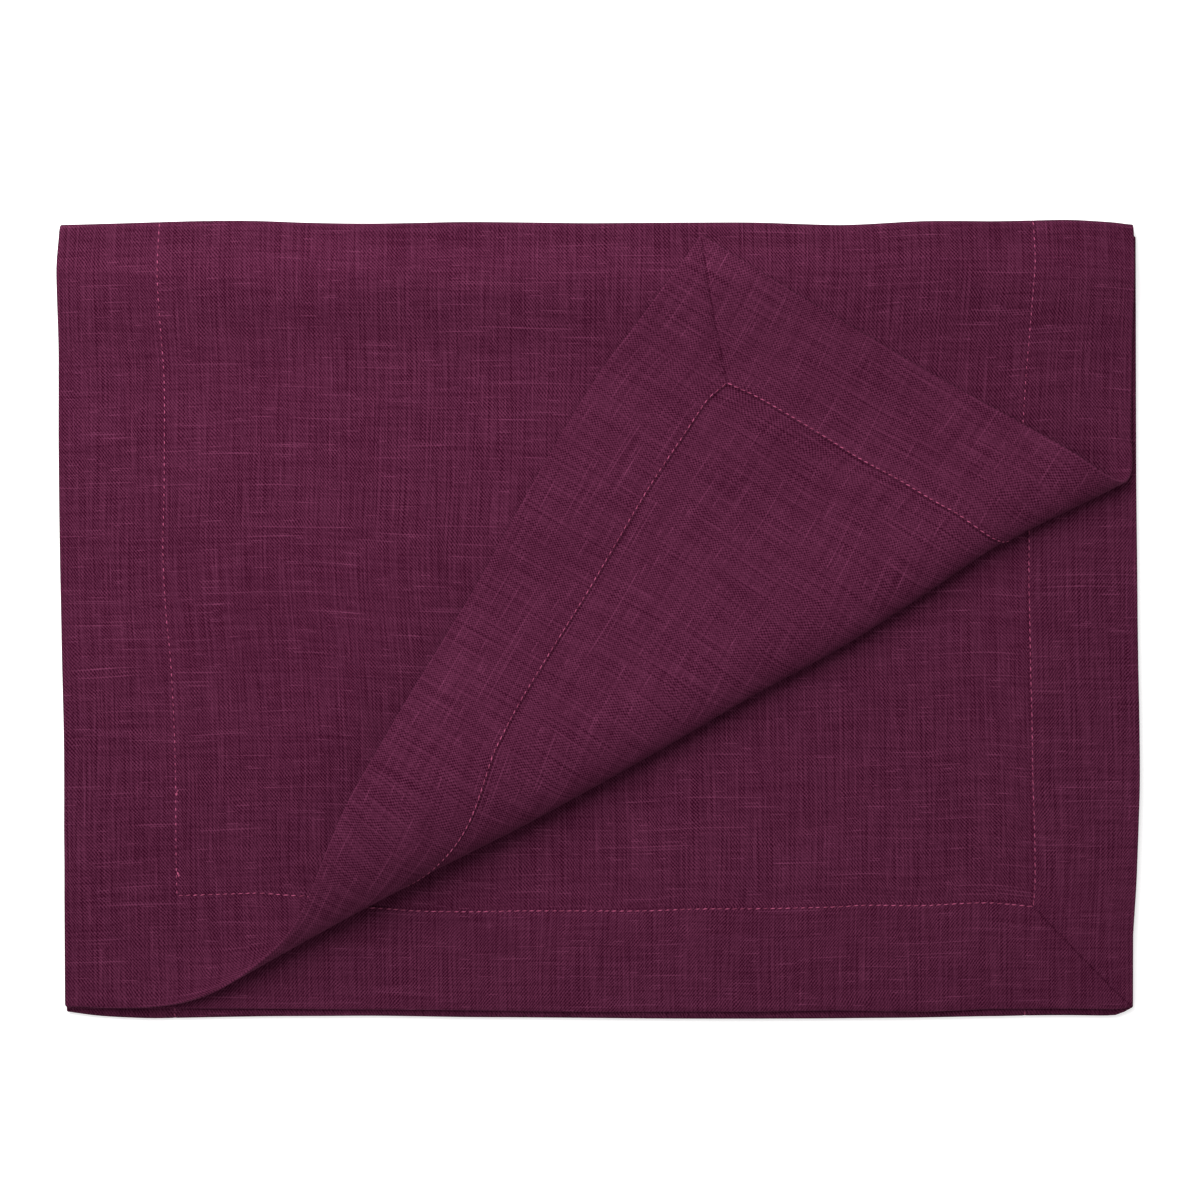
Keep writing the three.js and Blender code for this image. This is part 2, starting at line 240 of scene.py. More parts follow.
def smooth(share: Array) -> Array:
    """A share from 0 to 1, eased at both ends."""
    share = np.clip(share, 0, 1)
    return share * share * (3 - 2 * share)


@dataclass(frozen=True)
class Run:
    """A straight layer of the stack, or a half turn between two, with its place along the cloth."""

    start: float
    length: float
    heading: float
    y: float
    z: float
    radius: float = 0.0
    rise: float = 0.0

    def section(self, walked: Array) -> tuple[Array, Array]:
        """Y and Z of the cloth's middle.

        Args:
            walked: distances along the cloth from the start of this run.

        Returns:
            Y and Z at each of them.
        """
        if not self.radius:
            return self.y + self.heading * walked, np.full_like(walked, self.z)
        angle = walked / self.radius
        return self.y + self.heading * self.radius * np.sin(angle), self.z + self.rise * np.cos(angle)


@dataclass
class FoldedCloth:
    """Where each place of the flat cloth lies once folded and rolled back, in millimetres."""

    width: float = 400.0
    hem: float = 40.0
    front_above_middle: float = 0.5
    thickness: float = 0.6
    hem_extra: float = 0.6
    roll_climb: float = math.radians(29.4)
    flap_fall: float = math.radians(20)
    landing_radius: float = 60.0
    flap_rest: float = 2.4
    roll_flatness: float = 0.45
    roll_underside: float = 0.5
    swell_fade: float = 18.0
    step: float = 0.05
    shift: Array = field(default_factory=lambda: np.zeros(3))

    def __post_init__(self) -> None:
        """Lays out the layers and the half turns that join them."""
        self.runs: list[Run] = []
        start = 0.0
        for i, (height, first, last) in enumerate(LAYERS):
            heading = math.copysign(1, last - first)
            self.runs.append(Run(start, abs(last - first), heading, first, height))
            start += abs(last - first)
            if i + 1 < len(LAYERS):
                centre = (height + LAYERS[i + 1][0]) / 2
                radius = abs(height - centre)
                self.runs.append(Run(start, math.pi * radius, heading, last, centre, radius, height - centre))
                start += math.pi * radius
        self.length = start
        self.top_length = self.runs[0].length
        self.long_lines, self.cross_lines = curves(LONG_LINES), curves(CROSS_LINES)
        self.reach, self.radius, self.girth = curves(ROLL)
        turns = [run.start + run.length / 2 for run in self.runs if run.radius]
        self.marks = np.array([0, self.hem, *turns, self.length - self.hem, self.length])

    def stack(self, along: Array) -> tuple[Array, Array]:
        """Y and Z of the cloth's middle on the plain folded stack.

        Args:
            along: distances along the cloth.

        Returns:
            Y and Z at each of them.
        """
        y, z = self.runs[0].section(along)
        for run in self.runs[1:]:
            here = along >= run.start
            y[here], z[here] = run.section(along[here] - run.start)
        return y, z

    def stray_x(self, across: Array, along: Array) -> Array:
        """How far places stray along X, in proportion between the edges and the seams."""
        left, left_seam, right_seam, right = (line.at(along) for line in self.long_lines)
        inner = np.clip((across - self.hem) / (self.width - 2 * self.hem), 0, 1)
        between = left_seam + (right_seam - left_seam) * inner
        in_left = np.clip(1 - across / self.hem, 0, 1)
        in_right = np.clip(1 - (self.width - across) / self.hem, 0, 1)
        return between + (left - left_seam) * in_left + (right - right_seam) * in_right

    def stray_y(self, across: Array, along: Array) -> Array:
        """How far places stray along Y, blended between the free ends, the seams and the folds."""
        strays = np.array([line.at(across) for line in self.cross_lines])
        i = np.clip(np.searchsorted(self.marks, along, side="right") - 1, 0, len(self.marks) - 2)
        share = np.clip((along - self.marks[i]) / (self.marks[i + 1] - self.marks[i]), 0, 1)
        in_hem = (i == 0) | (i == len(self.marks) - 2)
        share = np.where(in_hem, share, smooth(share))
        each = np.arange(len(along))
        return strays[i, each] * (1 - share) + strays[i + 1, each] * share

    def flap_section(self, walked: Array, radius: Array, girth: Array) -> tuple[Array, Array]:
        """Section of the turned corner, from the foot of the roll over it and down to rest.

        Args:
            walked: distances along the cloth from the foot of the roll.
            radius: half the width of the roll's middle there.
            girth: the roll's girth there, as a share of a circle's.

        Returns:
            How far out and how far up the cloth is at each of them.
        """
        fall, landing_radius = self.flap_fall, self.landing_radius
        arc = (math.pi + fall) * radius * girth
        lowered = (1 - self.roll_underside) * radius
        rest = self.flap_rest / self.roll_flatness + lowered
        drop = radius * (1 + math.cos(fall)) - landing_radius * (1 - math.cos(fall)) - rest
        straight = drop / math.sin(fall)
        landing = landing_radius * fall
        angle = np.minimum(walked, arc) / (radius * girth)
        fallen = np.clip(walked - arc, 0, straight)
        landed = np.clip(walked - arc - straight, 0, landing)
        slope = fall - landed / landing_radius
        out = radius * np.sin(angle) - fallen * math.cos(fall)
        out -= landing_radius * (math.sin(fall) - np.sin(slope))
        out -= np.maximum(walked - arc - straight - landing, 0)
        up = radius * (1 - np.cos(angle)) - fallen * math.sin(fall)
        up -= landing_radius * (np.cos(slope) - math.cos(fall))
        up = np.where(angle < math.pi / 2, up * self.roll_underside, up - lowered)
        return out, up * self.roll_flatness

    def swell(self, x: Array, y: Array) -> Array:
        """Height that the soft swells add to the top layer at places seen from above."""
        top_fold = LAYERS[0][2]
        rise = sum(
            height * np.exp(-(((x - x0) / length) ** 2) - ((y - y0) / width) ** 2)
            for x0, y0, length, width, height in SWELLS
        )
        return smooth((top_fold - y) / self.swell_fade) * rise

    def sag(self, x: Array, y: Array, height: Array) -> Array:
        """How far layers of some full height sink at places seen from above."""
        heights = sorted(layer[0] for layer in LAYERS)
        sunk = np.zeros_like(x)
        for low, high, (least, most, *waves) in zip(heights, heights[1:], SAG):
            size = np.sin(x / waves[0] + waves[1]) + np.sin(y / waves[2] + waves[3])
            size = (size + np.sin((x + y) / waves[4] + waves[5])) / 6 + 0.5
            share = np.clip((height - low) / (high - low), 0, 1)
            sunk = sunk + (least + (most - least) * size) * share
        return sunk

    def middle(self, across: Array, along: Array) -> Array:
        """Middle of the finished cloth.

        Args:
            across: distances across the cloth.
            along: distances along it.

        Returns:
            One row of X, Y and Z for each place.
        """
        y, z = self.stack(along)
        x = across - self.width / 2 + self.stray_x(across, along)
        y = y + self.stray_y(across, along)
        axis_x, axis_y = math.cos(self.roll_climb), math.sin(self.roll_climb)
        beside = x * axis_x + y * axis_y
        radius = self.radius.at(beside)
        foot = self.reach.at(beside) - radius - (self.thickness - self.front_above_middle)
        walked = x * axis_y - y * axis_x - foot
        top = along < self.top_length
        rolled = top & (walked > 0)
        out, up = self.flap_section(np.maximum(walked, 0), radius, self.girth.at(beside))
        moved = np.where(rolled, out - walked, 0)
        x, y = x + moved * axis_y, y - moved * axis_x
        z = z - self.sag(x, y, z) + np.where(rolled, up, 0) + np.where(top, self.swell(x, y), 0)
        return np.stack([x, y, z], axis=-1)

    def crease(self, across: Array, along: Array) -> Array:
        """How far soft creases lift the cloth towards its front."""
        lift = np.zeros_like(across)
        for u0, v0, u1, v1, width, rise in CREASES:
            run_u, run_v = u1 - u0, v1 - v0
            t = ((across - u0) * run_u + (along - v0) * run_v) / (run_u**2 + run_v**2)
            t = np.clip(t, 0, 1)
            apart = np.hypot(across - u0 - t * run_u, along - v0 - t * run_v)
            lift += rise * np.exp(-((apart / width) ** 2))
        return lift

    def place(self, flat: Array) -> Array:
        """Folds points of the flat cloth.

        Args:
            flat: one row for each point: across, along, and how far above the front side.

        Returns:
            One row of X, Y and Z for each point, in metres.
        """
        across, along, rise = flat[:, 0].copy(), flat[:, 1].copy(), flat[:, 2]
        step = self.step
        across_way = self.middle(across + step, along) - self.middle(across - step, along)
        along_way = self.middle(across, along + step) - self.middle(across, along - step)
        facing = np.cross(across_way, along_way)
        facing /= np.linalg.norm(facing, axis=1, keepdims=True)
        above = self.front_above_middle + rise + self.crease(across, along)
        return (self.middle(across, along) + facing * above[:, None] + self.shift) * MM


class Side(Enum):
    """The two sides of the cloth."""

    FRONT = 1
    REVERSE = -1


@dataclass
class Hem:
    """The mitred hem on the reverse side, as heights over the flat cloth, in millimetres, with the light and
    shade painted along it.
    """

    cloth: FoldedCloth
    edge_inside_seam: float = 0.45
    edge_width: float = 0.3
    seam_dip: float = 0.1
    seam_dip_width: float = 0.6
    fullness: float = 0.12
    mitre_width: float = 0.45
    mitre_share: float = 0.75
    gap_width: float = 0.45
    rim_width: float = 0.5
    # Painted shade in the mitres and in the gap under the hem's inner edge, a painted highlight on the rim,
    # and painted light on the reverse side.
    mitre_painted_shade: float = -1.0
    gap_painted_shade: float = -0.7
    rim_painted_highlight: float = 0.6
    reverse_painted_light: float = 0.15

    def depth(self, across: Array, along: Array) -> Array:
        """How far places are inside the nearest edge."""
        sides = [across, self.cloth.width - across, along, self.cloth.length - along]
        return np.minimum.reduce(sides)

    def from_mitre(self, across: Array, along: Array) -> Array:
        """How far places are from the nearest mitre seam, or a long way outside the corners."""
        du = np.minimum(across, self.cloth.width - across)
        dv = np.minimum(along, self.cloth.length - along)
        corner = np.maximum(du, dv) < self.cloth.hem + self.edge_inside_seam
        return np.where(corner, np.abs(du - dv) / math.sqrt(2), self.cloth.hem)

    def front(self, across: Array, along: Array) -> Array:
        """Rise of the front side, which dips a little along the seams."""
        from_seam = self.depth(across, along) - self.cloth.hem
        return -self.seam_dip * np.exp(-((from_seam / self.seam_dip_width) ** 2))

    def reverse(self, across: Array, along: Array) -> Array:
        """Rise of the reverse side, below the front: the plain cloth, and the hem folded onto it."""
        depth = self.depth(across, along)
        from_seam = depth - self.cloth.hem
        inside = (from_seam - self.edge_inside_seam) / self.edge_width
        hem = 1 - np.clip(inside, 0, 1)
        puffed = np.sin(np.clip(depth / self.cloth.hem, 0, 1) * math.pi) * self.fullness
        dip = self.seam_dip * np.exp(-((from_seam / self.seam_dip_width) ** 2)) * hem
        mitre = self.mitre_share * np.exp(-((self.from_mitre(across, along) / self.mitre_width) ** 2))
        extra = (self.cloth.hem_extra + puffed) * hem * (1 - mitre)
        return -self.cloth.thickness - extra + dip

    def painted_shading(self, across: Array, along: Array, reverse: Array) -> Array:
        """How much lighter or darker the cloth's colour is painted: a painted highlight on the rim, painted
        light on the reverse side, and painted shade in the mitres and in the hem's gap.

        Args:
            across: distances across the cloth.
            along: distances along it.
            reverse: how far each place is on the reverse side, from 0 to 1.

        Returns:
            A number for each place, from -1 where it is darkest to 1 where it is lightest.
        """
        depth = self.depth(across, along)
        # A painted highlight along the rounded rim.
        on_rim = np.clip(1 - depth / self.rim_width, 0, 1)
        # Painted shade in the gap at the foot of the hem's inner edge.
        from_gap = depth - self.cloth.hem - self.edge_inside_seam - self.edge_width
        gap = np.clip(1 - np.abs(from_gap) / self.gap_width, 0, 1)
        # Painted shade along the mitre seams.
        mitre = np.clip(1 - self.from_mitre(across, along) / (MITRE_CUT * self.mitre_width), 0, 1)
        painted_shade = np.minimum(gap * self.gap_painted_shade, mitre * self.mitre_painted_shade * (1 - on_rim))
        # Painted light on the reverse side, added to the painted shade and the rim's painted highlight.
        return reverse * (painted_shade + self.reverse_painted_light) + on_rim * self.rim_painted_highlight


def grid_lines(marks: Sequence[tuple[float, int]], end: float) -> Array:
    """Places of grid lines.

    Args:
        marks: where each stretch starts, and how many equal cells it has.
        end: where the last stretch ends.

    Returns:
        Every line's place, in rising order.
    """
    stops = [place for place, _ in marks] + [end]
    parts = [
        np.linspace(stops[i], stops[i + 1], cells, endpoint=False) for i, (_, cells) in enumerate(marks)
    ]
    return np.append(np.concatenate(parts), end)


@dataclass
class Runner:
    """The cloth itself, in one piece with its hem."""

    cloth: FoldedCloth
    hem: Hem
    name: str = "runner_cloth"
    hem_cells: int = 12
    middle_cells: int = 98
    top_cells: int = 77
    hidden_cells: int = 36
    third_cells: int = 52
    big_turn_cells: int = 10
    small_turn_cells: int = 6
    corner_round: float = 0.9
    edge_round: float = 0.5
    round_segments: int = 3
    before_seam: tuple[float, float] = (1.2, 0.45)
    past_edge: float = 1.4
    cut_snap: float = 0.02
    least_flat: float = 0.5
    least_sharp: float = 1.0
    level: float = 1e-3

    def seam_marks(self) -> list[float]:
        """Distances from an edge at which the seam and the hem's inner edge need grid lines."""
        seam, edge = self.cloth.hem, self.cloth.hem + self.hem.edge_inside_seam
        foot = edge + self.hem.edge_width
        before = [seam - apart for apart in self.before_seam]
        return [*before, seam, edge, foot, foot + self.hem.gap_width, foot + self.past_edge]

    def hemmed_lines(self, size: float, cells: int, inner: Sequence[tuple[float, int]] = ()) -> Array:
        """Grid lines from edge to edge, close together at both seams.

        Args:
            size: the cloth's width or length.
            cells: the cells of the first stretch inside the seam.
            inner: where further stretches start, and their cells.

        Returns:
            Every line's place.
        """
        marks = self.seam_marks()
        back = [size - mark for mark in reversed(marks)]
        first = [(0.0, self.hem_cells), *[(mark, 1) for mark in marks[:-1]], (marks[-1], cells)]
        last = [*[(mark, 1) for mark in back[:-1]], (back[-1], self.hem_cells)]
        return grid_lines([*first, *inner, *last], size)

    def along_lines(self) -> Array:
        """Grid lines along the cloth, close together where it turns and where it is seen."""
        rows = []
        for i, run in enumerate(self.cloth.runs[1:-1]):
            turn = self.big_turn_cells if i == 0 else self.small_turn_cells
            rows.append((run.start, turn if run.radius else self.hidden_cells))
        rows.append((self.cloth.runs[-1].start, self.third_cells))
        return self.hemmed_lines(self.cloth.length, self.top_cells, rows)

    def flat_sheet(self) -> bmesh.types.BMesh:
        """The flat front of the cloth as a grid, cut along its mitres.

        Returns:
            The grid, in millimetres.
        """
        across, along = self.hemmed_lines(self.cloth.width, self.middle_cells), self.along_lines()
        cells = len(across) - 1, len(along) - 1
        bm = bmesh.new()
        bmesh.ops.create_grid(bm, x_segments=cells[0], y_segments=cells[1], size=0.5)
        for vert in bm.verts:
            vert.co.x = across[round((vert.co.x + 0.5) * cells[0])]
            vert.co.y = along[round((vert.co.y + 0.5) * cells[1])]
        for u, inward_u in ((0.0, 1), (self.cloth.width, -1)):
            for v, inward_v in ((0.0, 1), (self.cloth.length, -1)):
                normal = Vector((inward_u, -inward_v, 0)).normalized()
                for offset in (-MITRE_CUT, 0.0, MITRE_CUT):
                    self.cut_corner(bm, Vector((u, v, 0)), normal, offset)
        return bm

    def cut_corner(self, bm: bmesh.types.BMesh, corner: Vector, normal: Vector, offset: float) -> None:
        """Cuts the faces of one hem corner along its diagonal.

        Args:
            bm: the flat sheet.
            corner: the corner of the cloth.
            normal: direction square to the diagonal.
            offset: how far beside the diagonal the cut runs, in hem mitre widths.
        """
        reach = self.cloth.hem
        faces = [
            face
            for face in bm.faces
            if abs(face.calc_center_median().x - corner.x) < reach
            and abs(face.calc_center_median().y - corner.y) < reach
        ]
        edges = {edge for face in faces for edge in face.edges}
        verts = {vert for face in faces for vert in face.verts}
        bmesh.ops.bisect_plane(
            bm,
            geom=[*verts, *edges, *faces],
            dist=self.cut_snap,
            plane_co=corner + normal * offset * self.hem.mitre_width,
            plane_no=normal,
        )

    def lies_flat(self, face: bmesh.types.BMFace) -> bool:
        """Whether a face belongs to the front or the reverse side and not to the rim."""
        return abs(face.normal.z) > self.least_flat

    def thicken(self, bm: bmesh.types.BMesh) -> None:
        """Gives the sheet the thickness of its hem and rounds its rim.

        Args:
            bm: the flat sheet, which becomes a closed slab with its front at height 0.
        """
        thickness = self.cloth.thickness + self.cloth.hem_extra
        bmesh.ops.solidify(bm, geom=bm.faces[:], thickness=thickness)
        bmesh.ops.recalc_face_normals(bm, faces=bm.faces[:])
        highest = max(vert.co.z for vert in bm.verts)
        bmesh.ops.translate(bm, verts=bm.verts[:], vec=Vector((0, 0, -highest)))
        bm.normal_update()
        upright = [
            edge
            for edge in bm.edges
            if abs(edge.verts[0].co.z - edge.verts[1].co.z) > thickness / 2
            and not any(self.lies_flat(face) for face in edge.link_faces)
            and edge.calc_face_angle(0) > self.least_sharp
        ]
        self.bevel(bm, upright, self.corner_round)
        bm.normal_update()
        rim = [edge for edge in bm.edges if sorted(map(self.lies_flat, edge.link_faces)) == [False, True]]
        self.bevel(bm, rim, self.edge_round)

    def bevel(self, bm: bmesh.types.BMesh, edges: list[bmesh.types.BMEdge], offset: float) -> None:
        """Rounds edges by an amount."""
        bmesh.ops.bevel(
            bm,
            geom=edges,
            offset=offset,
            segments=self.round_segments,
            profile=0.5,
            affect="EDGES",
            material=-1,
            clamp_overlap=True,
        )

    def cloth_map(self, mesh: bpy.types.Mesh, flat: Array) -> None:
        """Gives each face corner its place on the cloth as it was before its hem was turned, in metres.

        Args:
            mesh: the mesh of the flat slab.
            flat: its vertices.
        """
        corners = np.empty(len(mesh.loops), np.int32)
        mesh.loops.foreach_get("vertex_index", corners)
        counts = np.empty(len(mesh.polygons), np.int32)
        mesh.polygons.foreach_get("loop_total", counts)
        centres = np.empty(len(mesh.polygons) * 3)
        mesh.polygons.foreach_get("center", centres)
        centres = np.repeat(centres.reshape(-1, 3), counts, axis=0)
        places = flat[corners, :2].copy()
        u, v = centres[:, 0], centres[:, 1]
        sides = np.stack([u, self.cloth.width - u, v, self.cloth.length - v])
        nearest = sides.argmin(axis=0)
        edge = self.cloth.hem + self.hem.edge_inside_seam + self.hem.edge_width
        turned = (sides.min(axis=0) < edge) & (centres[:, 2] < -self.cloth.thickness)
        mirrors = ((0, 0.0), (0, self.cloth.width), (1, 0.0), (1, self.cloth.length))
        for side, (column, mirror) in enumerate(mirrors):
            here = turned & (nearest == side)
            places[here, column] = 2 * mirror - places[here, column]
        layer = mesh.uv_layers.new(name=CLOTH_MAP)
        layer.uv.foreach_set("vector", (places * MM).ravel())

    def build(self, material: bpy.types.Material) -> bpy.types.Object:
        """Makes the cloth flat, with its hem, and folds it.

        Args:
            material: what the cloth is made of.

        Returns:
            The cloth.
        """
        bm = self.flat_sheet()
        self.thicken(bm)
        mesh = mesh_of(bm)
        flat = vertices_of(mesh)
        self.cloth_map(mesh, flat)
        thickness = self.cloth.thickness + self.cloth.hem_extra
        across, along, height = flat.T
        front, reverse = height > -self.level, height < self.level - thickness
        full_rim = self.hem.depth(across, along) < 2 * self.edge_round
        front_rise = np.where(full_rim, 0, self.hem.front(across, along))
        reverse_rise = np.where(full_rim, -thickness, self.hem.reverse(across, along))
        reverse_share = np.clip(-height / thickness, 0, 1)
        set_share(mesh, LEAN, 1 - reverse_share * np.where(along < self.cloth.top_length, 1, 2))
        # Stores the painted light and shade of the rim, the hem's gap, the mitres and the reverse side.
        set_share(mesh, PAINTED_SHADING, self.hem.painted_shading(across, along, reverse_share))
        flat[:, 2] = np.where(front, front_rise, np.where(reverse, reverse_rise, height))
        low, high = CAD_BOX
        folded = self.cloth.place(flat)
        centre = (folded.min(axis=0) + folded.max(axis=0)) / 2
        self.cloth.shift[:2] = (np.array((low + high) / 2)[:2] - centre[:2]) / MM
        set_vertices(mesh, self.cloth.place(flat))
        return show(self.name, mesh, material)


@dataclass(frozen=True)
class SeamLine:
    """One straight stretch of the seam on the flat cloth, as its stitches show on one side."""

    start: tuple[float, float]
    end: tuple[float, float]
    side: Side
    shown: float
    sunk: float


@dataclass
class Stitches:
    """The stitches of the hem on both sides, and the knots of their thread.

    Each kind of stitch is how much of it shows and how deep it is sunk.
    """

    cloth: FoldedCloth
    hem: Hem
    name: str = "runner_stitches"
    pitch: float = 2.8
    width: float = 0.42
    height: float = 0.34
    slant: float = math.radians(7)
    front: tuple[float, float] = (1.5, 0.09)
    reverse: tuple[float, float] = (2.0, 0.02)
    cross: tuple[float, float] = (2.1, 0.0)
    uneven: float = 0.1
    jitter: float = 0.05
    sides: int = 6
    rings: int = 4
    seed: int = 11

    def lines(self) -> Iterator[SeamLine]:
        """The four stretches of the seam on each side.

        Yields:
            Each stretch.
        """
        near, far = self.cloth.hem, self.cloth.width - self.cloth.hem
        low, high = self.cloth.hem, self.cloth.length - self.cloth.hem
        long_ends = (((near, low), (near, high)), ((far, low), (far, high)))
        cross_ends = (((near, low), (far, low)), ((near, high), (far, high)))
        for side in Side:
            kind = self.front if side is Side.FRONT else self.reverse
            for start, end in long_ends:
                yield SeamLine(start, end, side, *kind)
            for start, end in cross_ends:
                yield SeamLine(start, end, side, *self.cross)


    def sewn(self, line: SeamLine, dice: np.random.Generator) -> Array:
        """Where the stitches of one stretch lie on the flat cloth.

        Args:
            line: the stretch.
            dice: where the small differences between stitches come from.

        Returns:
            One row for each stitch: its middle, its three sizes and its turn.
        """
        start, end = np.array(line.start), np.array(line.end)
        count = round(np.linalg.norm(end - start) / self.pitch)
        way = (end - start) / count
        jitter, side = self.jitter, line.side.value
        middles = start + way * (np.arange(count) + 0.5 + dice.uniform(-jitter, jitter, count))[:, None]
        surface = self.hem.front if line.side is Side.FRONT else self.hem.reverse
        rise = surface(*((start + end) / 2)[:, None])[0] + side * (self.height / 4 - line.sunk)
        turns = math.atan2(way[1], way[0]) + side * self.slant + dice.uniform(-jitter, jitter, count)
        lengths = line.shown * dice.uniform(1 - self.uneven, 1 + self.uneven, count)
        sizes = np.full((count, 3), (rise, self.width, self.height))
        return np.column_stack([middles, sizes[:, 0], lengths, sizes[:, 1:], turns])

    def copies(self, count: int) -> bpy.types.Mesh:
        """Copies of one round stitch, a unit wide, each with its own block of vertices.

        Args:
            count: how many.

        Returns:
            One mesh that holds them all.
        """
        bm = bmesh.new()
        bmesh.ops.create_uvsphere(bm, u_segments=self.sides, v_segments=self.rings, radius=0.5)
        single = bpy.data.objects.new("stitch", mesh_of(bm))
        bpy.context.scene.collection.objects.link(single)
        array = single.modifiers.new("row", "ARRAY")
        array.count = count
        copies = bpy.data.meshes.new_from_object(single.evaluated_get(bpy.context.evaluated_depsgraph_get()))
        bpy.data.objects.remove(single)
        return copies

    def build(self, material: bpy.types.Material) -> bpy.types.Object:
        """Sews all seams on the flat cloth and folds them with it.

        Args:
            material: the thread's material.

        Returns:
            All stitches as one piece.
        """
        dice = np.random.default_rng(self.seed)
        sewn = np.concatenate([self.sewn(line, dice) for line in self.lines()] + [np.array(KNOTS)])
        mesh = self.copies(len(sewn))
        corners = len(mesh.vertices) // len(sewn)
        one = vertices_of(mesh)[:corners]
        middles, sizes, turns = sewn[:, :3], sewn[:, 3:6], sewn[:, 6]
        spread = one[None] * sizes[:, None]
        cosine, sine = np.cos(turns)[:, None], np.sin(turns)[:, None]
        x = spread[:, :, 0] * cosine - spread[:, :, 1] * sine
        y = spread[:, :, 0] * sine + spread[:, :, 1] * cosine
        flat = np.stack([x, y, spread[:, :, 2]], axis=-1) + middles[:, None]
        set_vertices(mesh, self.cloth.place(flat.reshape(-1, 3)))
        return show(self.name, mesh, material)


def show(name: str, mesh: bpy.types.Mesh, material: bpy.types.Material) -> bpy.types.Object:
    """Makes a smooth object of a mesh.

    Args:
        name: the piece's name.
        mesh: its shape.
        material: what it is made of.

    Returns:
        The piece, which is in the scene.
    """
    mesh.name = name
    mesh.materials.clear()
    mesh.materials.append(material)
    mesh.shade_smooth()
    piece = bpy.data.objects.new(name, mesh)
    bpy.context.scene.collection.objects.link(piece)
    return piece


def mesh_of(bm: bmesh.types.BMesh) -> bpy.types.Mesh:
    """A mesh with the shape of a bmesh, which is freed."""
    mesh = bpy.data.meshes.new("new")
    bm.to_mesh(mesh)
    bm.free()
    return mesh


def vertices_of(mesh: bpy.types.Mesh) -> Array:
    """The vertices of a mesh, one row each."""
    places = np.empty(len(mesh.vertices) * 3)
    mesh.vertices.foreach_get("co", places)
    return places.reshape(-1, 3)


def set_vertices(mesh: bpy.types.Mesh, places: Array) -> None:
    """Moves the vertices of a mesh to new places, one row each."""
    mesh.vertices.foreach_set("co", places.astype(np.float32).ravel())
    mesh.update()


def set_share(mesh: bpy.types.Mesh, name: str, values: Array) -> None:
    """Stores a number for each vertex of a mesh under a name."""
    layer = mesh.attributes.new(name, "FLOAT", "POINT")
    layer.data.foreach_set("value", values.astype(np.float32))


class Wire:
    """An output socket of a material's node, with the sums that can be done on it."""

    def __init__(self, bench: "Bench", socket: bpy.types.NodeSocket) -> None:
        """Wraps a socket of a material that is being made."""
        self.bench, self.socket = bench, socket

    def sum(self, operation: str, *values: Any) -> "Wire":
        """The result of a new Math node."""
        return self.bench.node("ShaderNodeMath", {"operation": operation}, dict(enumerate(values)))["Value"]

    def __add__(self, other: Any) -> "Wire":
        """This plus another."""
        return self.sum("ADD", self, other)

    def __mul__(self, other: Any) -> "Wire":
        """This times another."""
        return self.sum("MULTIPLY", self, other)

    def __sub__(self, other: Any) -> "Wire":
        """This minus another."""
        return self.sum("SUBTRACT", self, other)

    def __rsub__(self, other: Any) -> "Wire":
        """Another minus this."""
        return self.sum("SUBTRACT", other, self)

    def __truediv__(self, other: Any) -> "Wire":
        """This divided by another."""
        return self.sum("DIVIDE", self, other)

    __radd__ = __add__

    def cosine(self) -> "Wire":
        """The cosine of this."""
        return self.sum("COSINE", self)

    def sine(self) -> "Wire":
        """The sine of this."""
        return self.sum("SINE", self)

    def size(self) -> "Wire":
        """This without its sign."""
        return self.sum("ABSOLUTE", self)

    def floor(self) -> "Wire":
        """The whole number below this."""
        return self.sum("FLOOR", self)

    def ramp(self, low: float, high: float) -> "Wire":
        """How far this is from low to high, from 0 to 1, eased at both ends."""
        settings = {"interpolation_type": "SMOOTHSTEP"}
        values = {"Value": self, "From Min": low, "From Max": high, "To Min": 0.0, "To Max": 1.0}
        return self.bench.node("ShaderNodeMapRange", settings, values)["Result"]


